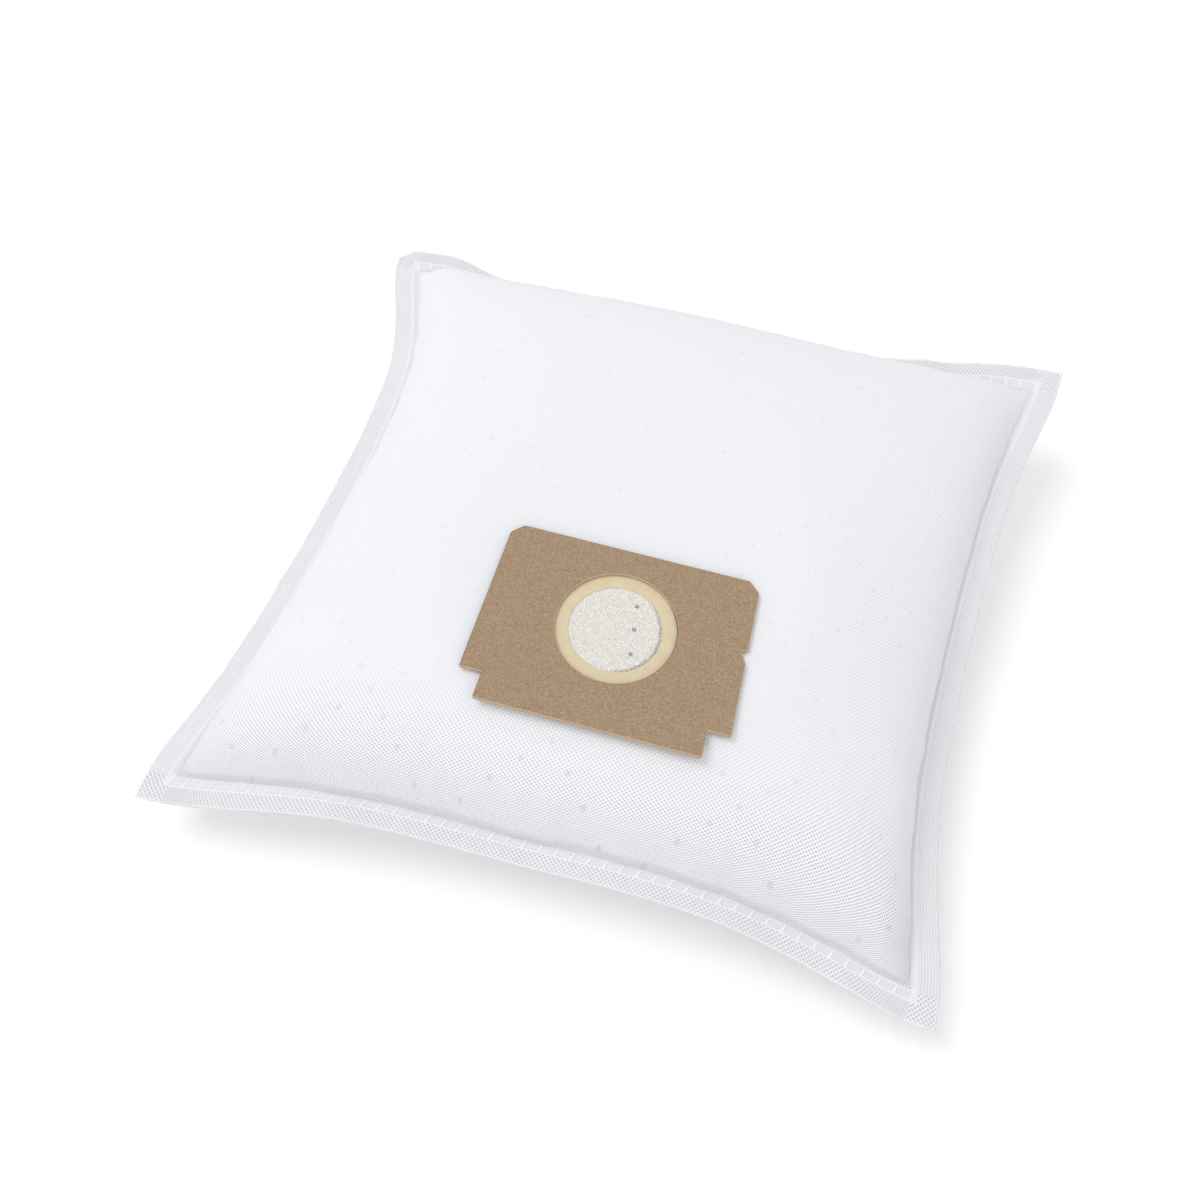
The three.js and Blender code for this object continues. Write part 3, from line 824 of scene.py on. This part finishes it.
def collar_outline():
    """Corners of the collar: cut at the back, stepped at the front, notched at the right."""
    side, end = COLLAR_WIDTH / 2, COLLAR_LENGTH / 2
    tongue, step = side - STEP_WIDTH, STEP_LENGTH - end
    cut_side, cut_end = side - COLLAR_CHAMFER, end - COLLAR_CHAMFER
    notch = end - NOTCH_FROM_BACK
    tip = notch - NOTCH_UPPER_LENGTH
    right = [(tongue, -end), (tongue, step), (side, step)]
    right += [(side, tip - NOTCH_LOWER_LENGTH), (side - NOTCH_DEPTH, tip), (side, notch)]
    right += [(side, cut_end), (cut_side, end)]
    left = [(-cut_side, end), (-side, cut_end), (-side, step), (-tongue, step)]
    corners = [(-tongue, -end), *right, *left]
    narrowing = COLLAR_TAPER / (COLLAR_WIDTH * COLLAR_LENGTH)
    return [(x * (1 - narrowing * y), y) for x, y in corners]


def eased_corners(corners, radius, steps=3):
    """The outline with each corner drawn as a short curve."""
    points = []
    for k, corner in enumerate(corners):
        here = Vector(corner)
        before, after = Vector(corners[k - 1]) - here, Vector(corners[(k + 1) % len(corners)]) - here
        start = here + before.normalized() * min(radius, before.length / 3)
        end = here + after.normalized() * min(radius, after.length / 3)
        for n in range(steps + 1):
            t = n / steps
            points.append(start * (1 - t) ** 2 + here * 2 * t * (1 - t) + end * t**2)
    return points


def board_layer(outline, hole_radius, low, high, ease):
    """One board layer with softened edges, as a mesh in the collar's frame in millimetres."""
    curve = bpy.data.curves.new("board layer", "CURVE")
    curve.dimensions = "2D"
    curve.fill_mode = "BOTH"
    curve.extrude = (high - low) / 2 - ease
    curve.bevel_depth = ease
    curve.bevel_resolution = 2
    curve.offset = -ease
    ring = [(INLET[0] + hole_radius * math.cos(a), INLET[1] + hole_radius * math.sin(a))
            for a in np.linspace(0, 2 * math.pi, 128, endpoint=False)]
    for points in (outline, ring):
        spline = curve.splines.new("POLY")
        spline.points.add(len(points) - 1)
        for point, place in zip(spline.points, points):
            point.co = (place[0], place[1], 0, 1)
        spline.use_cyclic_u = True
    solid = new_object("board layer", curve)
    found = solid.evaluated_get(bpy.context.evaluated_depsgraph_get())
    mesh = bpy.data.meshes.new_from_object(found)
    mesh.transform(Matrix.Translation((0, 0, (low + high) / 2)))
    bpy.data.objects.remove(solid)
    return mesh


def flap_places(steps):
    """Places on the flap from its middle: fine rings round the edge of the membrane's hole, and
    a rectangle at the flap's own edge."""
    x, y = np.meshgrid(np.linspace(-1, 1, steps + 1), np.linspace(-1, 1, steps + 1))
    ring = np.maximum(np.abs(x), np.abs(y))
    wide = np.abs(x) >= np.abs(y)
    angle = np.where(wide, y / np.where(x == 0, 1, x), 2 - x / np.where(y == 0, 1, y))
    angle = angle * math.pi / 4 + np.where(wide, x < 0, y < 0) * math.pi
    hole = MEMBRANE_HOLE_RADIUS
    reach = np.interp(ring, (0, 0.56, 0.7, 0.8, 1), (0, hole - 1.8, hole + 0.6, PANEL_HOLE_RADIUS, 29))
    square = smooth((ring - 0.8) / 0.2)
    place_x = reach * np.cos(angle) * (1 - square) + x * FLAP_SIZE[0] / 2 * square
    place_y = reach * np.sin(angle) * (1 - square) + y * FLAP_SIZE[1] / 2 * square
    return place_x, place_y


def flap_heights(x, y):
    """Heights of the flap's two faces. It swells up into the membrane's hole, and falls off
    under the hole's right edge."""
    z = LANDING_HEIGHT - FLAP_DROP - FLAP_SAG * (1 - (2 * x / FLAP_SIZE[0]) ** 2)
    reach = np.hypot(x, y)
    lifted = COLLAR_BOTTOM - FLAP_GAP
    z += (lifted - z) * smooth((PANEL_HOLE_RADIUS - 0.2 - reach) / 1.0)
    edge = MEMBRANE_HOLE_RADIUS - FLAP_CLEARANCE
    swell = FLAP_SWELL * smooth((edge + 0.35 - reach) / 0.35)
    to_right = smooth((0.95 * x - 0.3 * y) / np.maximum(reach, 1) * 1.6 - 0.3)
    z += swell - (swell + FLAP_DIP) * to_right * smooth((reach - edge + 1.5) / 1.3) * (reach < edge + 0.6)
    felt = soft_noise(x * 0.6, y, 1.6, FELT_SEED) + 0.6 * soft_noise(x, y, 0.9, FELT_SEED + 1)
    return z - FLAP_THICKNESS, z + 0.1 * felt * smooth((edge - 0.5 - reach) / 2)


def length_property(name, description, value, low, high):
    return FloatProperty(
        name=name, description=description, default=value, min=low, max=high, unit="LENGTH")


def strength_property(name, description, value, high):
    return FloatProperty(name=name, description=description, default=value, min=0.0, max=high)


def colour_property(name, description, value):
    return FloatVectorProperty(
        name=name, description=description, default=value, size=3, min=0.0, max=1.0, subtype="COLOR")


class DustBagSizes(bpy.types.PropertyGroup):
    fold_height: length_property("Fold height", "Height of the puckers and dents", 0.001, 0.0, 0.005)
    mesh_pitch: length_property("Mesh pitch", "Step of the pits of the bonded fleece", 0.00125, 0.0005, 0.005)
    strip_pitch: length_property(
        "Strip pitch", "Step of the pits of the front and back strips", 0.00127, 0.0005, 0.005)
    pad_pitch: length_property("Pad pitch", "Step of the weld pads at front and back", 0.0069, 0.002, 0.02)
    rib_pitch: length_property("Rib pitch", "Step of the ribs of the side edges", 0.0013, 0.0005, 0.005)
    quilt_step_x: length_property("Quilt step X", "Step of the spot welds along X", 0.0098, 0.002, 0.05)
    quilt_step_y: length_property("Quilt step Y", "Step of the spot welds along Y", 0.0088, 0.002, 0.05)
    quilt_turn: FloatProperty(
        name="Quilt turn", description="Turn of the rows of spot welds, in degrees", default=-3.0)
    spot_weld_radius: length_property("Spot weld radius", "Radius of a spot weld", 0.0011, 0.0002, 0.005)
    board_ease: length_property("Board edge", "Softening of the collar's cut edges", 0.0003, 0.0, 0.0004)
    belly_steps: IntProperty(
        name="Belly steps", description="Grid steps from the middle of a panel to its seam",
        default=118, min=20, max=200)
    flange_steps: IntProperty(
        name="Flange steps", description="Grid steps across the flange", default=16, min=2, max=40)


class DustBagColours(bpy.types.PropertyGroup):
    fleece: colour_property("Fleece", "Threads of the outer fleece", (0.875, 0.885, 0.91))
    fleece_shade: colour_property("Fleece shade", "Its thinner patches", (0.85, 0.86, 0.888))
    # The pit tone is also painted shade in the crease, on the flange and in the rib grooves; the ridge tone
    # also the painted highlight of the cut edge
    fleece_pit_and_shade: colour_property("Fleece pit", "Its pressed pits and pads", (0.57, 0.58, 0.63))
    fleece_ridge_and_highlight: colour_property("Fleece ridge", "Raised lines and the cut edge", (0.94, 0.945, 0.965))
    spot_weld: colour_property("Spot weld", "Melted spots of the quilting", (0.6, 0.61, 0.66))
    board: colour_property("Board", "Kraft board", (0.385, 0.262, 0.16))
    board_dark: colour_property("Board dark", "Its dark patches", (0.3, 0.2, 0.12))
    board_light: colour_property("Board light", "Its pale fibres", (0.52, 0.38, 0.245))
    rubber: colour_property("Rubber", "Membrane", (0.74, 0.63, 0.42))
    rubber_shade: colour_property("Rubber shade", "Its cloudy tone", (0.69, 0.58, 0.38))
    felt: colour_property("Felt", "Raised fibres of the flap", (0.965, 0.935, 0.875))
    # Painted shade in the hollows between the felt's ridges, and its own darker patches
    felt_shade: colour_property("Felt shade", "Its hollows", (0.785, 0.755, 0.695))


class DustBagStage(bpy.types.PropertyGroup):
    sky_strength: strength_property("Sky strength", "Even light from all round", 0.74, 5.0)
    key_strength: strength_property("Key strength", "Soft light from the upper left", 0.9, 100.0)
    front_strength: strength_property("Front strength", "Broad low light from the front", 0.36, 100.0)
    floor_glow: strength_property("Floor glow", "Paleness that the camera sees in the floor", 0.182, 1.0)


class DUSTBAG_OT_upper_panel(bpy.types.Operator):
    """Makes the upper fleece panel with its inlet hole"""

    bl_idname = "dustbag.upper_panel"
    bl_label = "Upper panel"

    def execute(self, context):
        piece = make_panel("upper_panel_fleece", UPPER_BELLY, CROWN_HEIGHT, 1)
        finish_piece(piece, outer_fleece(), "outer_fleece", "upper_panel")
        return {"FINISHED"}


class DUSTBAG_OT_lower_panel(bpy.types.Operator):
    """Makes the lower fleece panel, flat where it lies on the floor"""

    bl_idname = "dustbag.lower_panel"
    bl_label = "Lower panel"

    def execute(self, context):
        piece = make_panel("lower_panel_fleece", LOWER_BELLY, -BELLY_SAG, -1)
        finish_piece(piece, outer_fleece(), "outer_fleece", "lower_panel")
        return {"FINISHED"}


class DUSTBAG_OT_collar(bpy.types.Operator):
    """Makes the two glued board layers of the collar"""

    bl_idname = "dustbag.collar"
    bl_label = "Collar"

    def execute(self, context):
        ease = context.scene.dust_bag_sizes.board_ease / MM
        outline = eased_corners(collar_outline(), CORNER_EASE)
        middle = COLLAR_BOTTOM + COLLAR_LOWER_LAYER
        bm = bmesh.new()
        layers = ((POCKET_RADIUS, COLLAR_BOTTOM, middle), (OPENING_RADIUS, middle, COLLAR_TOP))
        for radius, low, high in layers:
            layer = board_layer(outline, radius, low, high, ease)
            bm.from_mesh(layer)
            bpy.data.meshes.remove(layer)
        bmesh.ops.remove_doubles(bm, verts=bm.verts, dist=0.0005)
        bm.transform(from_collar())
        bmesh.ops.recalc_face_normals(bm, faces=bm.faces)
        mesh = bpy.data.meshes.new("collar_board")
        bm.to_mesh(mesh)
        bm.free()
        piece = new_object("collar_board", mesh)
        finish_piece(piece, kraft_board(), "cardboard", "collar_plate")
        return {"FINISHED"}


class DUSTBAG_OT_membrane(bpy.types.Operator):
    """Makes the rubber membrane, with a rounded lip round its hole"""

    bl_idname = "dustbag.membrane"
    bl_label = "Membrane"

    def execute(self, context):
        bottom = COLLAR_BOTTOM
        half = MEMBRANE_THICKNESS / 2
        lip = [(MEMBRANE_HOLE_RADIUS + half - half * math.sin(a), bottom + half - half * math.cos(a))
               for a in np.linspace(0, math.pi, 9)]
        first = MEMBRANE_HOLE_RADIUS + half + 0.3
        profile = lip + [(r, bottom + 2 * half) for r in np.linspace(first, MEMBRANE_RADIUS - 0.1, 8)]
        profile += [(MEMBRANE_RADIUS, bottom + half), (MEMBRANE_RADIUS - 0.1, bottom)]
        around = 160
        points, faces = [], []
        for k in range(around):
            a = 2 * math.pi * k / around
            points += [(INLET[0] + r * math.cos(a), INLET[1] + r * math.sin(a), z) for r, z in profile]
        size = len(profile)
        for k in range(around):
            for n in range(size):
                here, following = k * size, (k + 1) % around * size
                faces.append((here + n, here + (n + 1) % size, following + (n + 1) % size, following + n))
        mesh = bpy.data.meshes.new("membrane_ring")
        mesh.from_pydata(points, [], faces)
        mesh.transform(from_collar())
        mesh.shade_smooth()
        piece = new_object("membrane_ring", mesh)
        finish_piece(piece, membrane_rubber(), "membrane_rubber", "sealing_membrane")
        return {"FINISHED"}


class DUSTBAG_OT_flap(bpy.types.Operator):
    """Makes the limp fleece flap that hangs behind the inlet"""

    bl_idname = "dustbag.flap"
    bl_label = "Inner flap"

    def execute(self, context):
        place_x, place_y = flap_places(100)
        low, top = flap_heights(place_x, place_y)
        turn = np.array(from_collar().to_3x3()) / MM
        outer, inner = [
            np.stack([place_x + INLET[0], place_y + INLET[1], z], -1) @ turn.T + (*COLLAR_PLACE, 0.0)
            for z in (top, low)]
        inner = inner[::INNER_STEP, ::INNER_STEP]
        maps = {"cloth": np.stack([place_x, place_y], -1)}
        piece = make_shell("inlet_flap_felt", outer, inner, maps, INNER_STEP, True)
        finish_piece(piece, inner_fleece(), "inner_fleece", "inlet_flap")
        return {"FINISHED"}


class DUSTBAG_OT_stage(bpy.types.Operator):
    """Makes the floor, the soft studio light and the camera"""

    bl_idname = "dustbag.stage"
    bl_label = "Stage"

    def execute(self, context):
        settings = context.scene.dust_bag_stage
        self.make_floor(settings)
        self.make_light(context, settings)
        self.make_camera(context)
        context.scene.view_settings.view_transform = "Standard"
        return {"FINISHED"}

    def make_floor(self, settings):
        mesh = bpy.data.meshes.new("floor")
        reach, low = FLOOR_REACH, FLOOR_HEIGHT
        mesh.from_pydata(
            [(-reach, -reach, low), (reach, -reach, low), (reach, reach, low), (-reach, reach, low)],
            [], [(0, 1, 2, 3)])
        floor = new_object("floor", mesh)
        material, g, shader = new_material(
            "Pale floor", base_color=FLOOR_COLOUR, roughness=1.0, specular_ior_level=0.0,
            emission_color=(1, 1, 1, 1))
        g.put(g.times(self.seen_rays(g), settings.floor_glow), shader.inputs["Emission Strength"])
        floor.data.materials.append(material)

    def seen_rays(self, g):
        """The rays that show the floor and the sky, straight or by a reflection."""
        rays = g.add("ShaderNodeLightPath").outputs
        return g.sum(rays["Is Camera Ray"], rays["Is Glossy Ray"], rays["Is Transmission Ray"])

    def make_light(self, context, settings):
        world = bpy.data.worlds.new("Studio")
        context.scene.world = world
        world.use_nodes = True
        g = Graph(world.node_tree)
        background = world.node_tree.nodes["Background"]
        background.inputs["Color"].default_value = SKY_COLOUR
        seen = self.seen_rays(g)
        plain = g.times(g.minus(1.0, seen, clamp=True), settings.sky_strength)
        g.put(g.plus(plain, g.math("MINIMUM", seen, 1.0)), background.inputs["Strength"])
        self.make_sun("key light", KEY_FROM, KEY_SPREAD, settings.key_strength)
        self.make_sun("front light", FRONT_FROM, FRONT_SPREAD, settings.front_strength)

    def make_sun(self, name, towards, spread, strength):
        lamp = bpy.data.lights.new(name, "SUN")
        lamp.angle = math.radians(spread)
        lamp.energy = strength
        lamp.color = LAMP_COLOUR
        sun = new_object(name, lamp)
        sun.rotation_mode = "QUATERNION"
        sun.rotation_quaternion = Vector(towards).to_track_quat("Z", "Y")

    def make_camera(self, context):
        lens = bpy.data.cameras.new("camera")
        lens.sensor_width = SENSOR_WIDTH
        lens.lens = CAMERA_LENS
        lens.clip_start, lens.clip_end = 0.01, 50.0
        camera = new_object("camera", lens)
        turn = Matrix((CAMERA_RIGHT, CAMERA_UP, CAMERA_BACK)).transposed().to_4x4()
        camera.matrix_world = Matrix.Translation(CAMERA_PLACE) @ turn
        context.scene.camera = camera


GROUPS = {
    "dust_bag_sizes": DustBagSizes,
    "dust_bag_colours": DustBagColours,
    "dust_bag_stage": DustBagStage,
}
OPERATORS = (
    DUSTBAG_OT_upper_panel,
    DUSTBAG_OT_lower_panel,
    DUSTBAG_OT_collar,
    DUSTBAG_OT_membrane,
    DUSTBAG_OT_flap,
    DUSTBAG_OT_stage,
)


class DUSTBAG_PT_panel(bpy.types.Panel):
    """Lists the pieces of the dust bag"""

    bl_idname = "DUSTBAG_PT_panel"
    bl_label = "Dust bag"
    bl_space_type = "VIEW_3D"
    bl_region_type = "UI"
    bl_category = "Dust bag"

    def draw(self, context):
        for group in GROUPS:
            settings = getattr(context.scene, group)
            box = self.layout.box()
            for name in type(settings).__annotations__:
                box.prop(settings, name)
        for operator in OPERATORS:
            self.layout.operator(operator.bl_idname)


CLASSES = (*GROUPS.values(), *OPERATORS, DUSTBAG_PT_panel)


def register():
    for made in CLASSES:
        bpy.utils.register_class(made)
    for name, group in GROUPS.items():
        setattr(bpy.types.Scene, name, PointerProperty(type=group))


def unregister():
    for name in GROUPS:
        delattr(bpy.types.Scene, name)
    for made in reversed(CLASSES):
        bpy.utils.unregister_class(made)


def main():
    register()
    bpy.ops.dustbag.upper_panel()
    bpy.ops.dustbag.lower_panel()
    bpy.ops.dustbag.collar()
    bpy.ops.dustbag.membrane()
    bpy.ops.dustbag.flap()
    bpy.ops.dustbag.stage()


if __name__ == "__main__":
    main()
